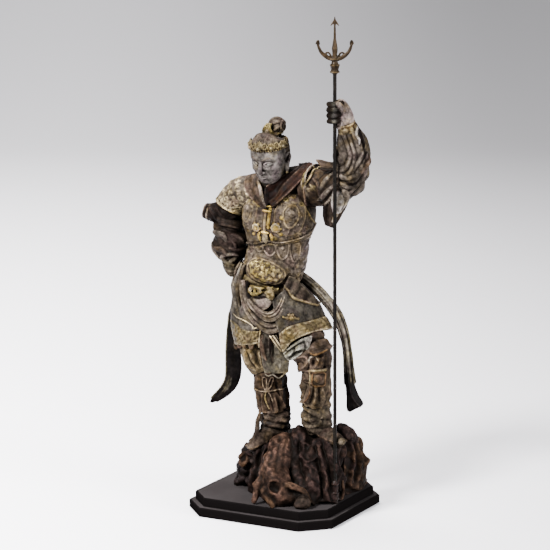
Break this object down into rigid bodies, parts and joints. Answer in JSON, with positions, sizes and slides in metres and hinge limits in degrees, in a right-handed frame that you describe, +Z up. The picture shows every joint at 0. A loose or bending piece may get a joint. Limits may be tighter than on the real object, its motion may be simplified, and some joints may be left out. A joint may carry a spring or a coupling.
{
  "type": "lokapala figure",
  "caption": "Standing guardian king in armour on gnarled rock over a stepped black plinth, holding a tall trident in his raised left hand.",
  "frame": {"origin": "centre of the plinth's underside", "axes": "+Z up, the figure faces -Y, his left hand and the trident are on the +X side"},
  "size_m": [0.1125, 0.093, 0.3],
  "materials": {
    "plinth": "satin charcoal black paint",
    "rock_base": "carved root-like rock, dark brown with red-brown dry-brushed ridges",
    "figure": "aged bronze-olive paint with dark wash, tan ridges and gold picked out on the ornaments",
    "trident": "black-brown paint with gold-brown rubbed head"
  },
  "bodies": {
    "root": {"plinth": "plinth", "rock_base": "rock_base", "figure": "figure", "trident": "trident"}
  },
  "joints": []
}
